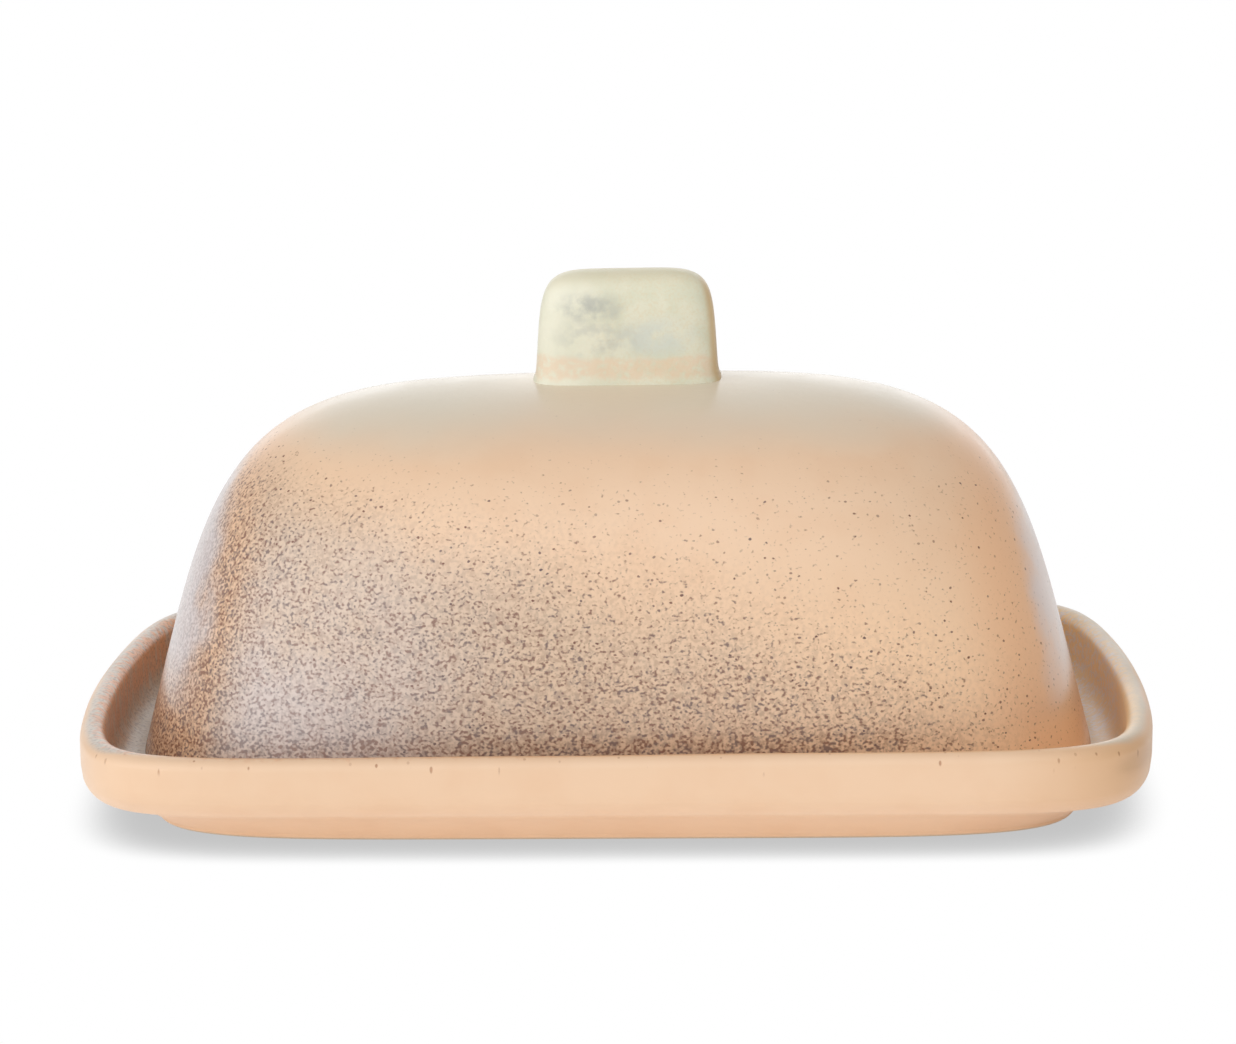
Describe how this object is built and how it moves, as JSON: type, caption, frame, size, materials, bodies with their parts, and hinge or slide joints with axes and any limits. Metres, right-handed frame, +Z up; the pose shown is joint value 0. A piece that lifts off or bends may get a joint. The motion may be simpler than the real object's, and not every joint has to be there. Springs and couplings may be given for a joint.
{
  "type": "covered butter dish",
  "caption": "Oblong glazed stoneware butter dish: a footed tray with a rounded rim, and a loose domed lid with a block knob.",
  "frame": {"origin": "the middle of the foot's underside, where the dish rests on a table", "axes": "+Z up; +X along the dish's length, to the right as seen from the front; the front faces -Y"},
  "size_m": [0.2, 0.125, 0.0963],
  "materials": {
    "tray_glaze": "satin",
    "lid_glaze": "satin",
    "knob_glaze": "satin"
  },
  "bodies": {
    "tray": {"tray": "tray_glaze"},
    "lid": {"lid_shell": "lid_glaze", "knob": "knob_glaze"}
  },
  "joints": [
    {"name": "lid_lift", "type": "slide", "parent": "tray", "child": "lid", "axis": [0, 0, 1], "range_m": [0, 0.12]}
  ]
}
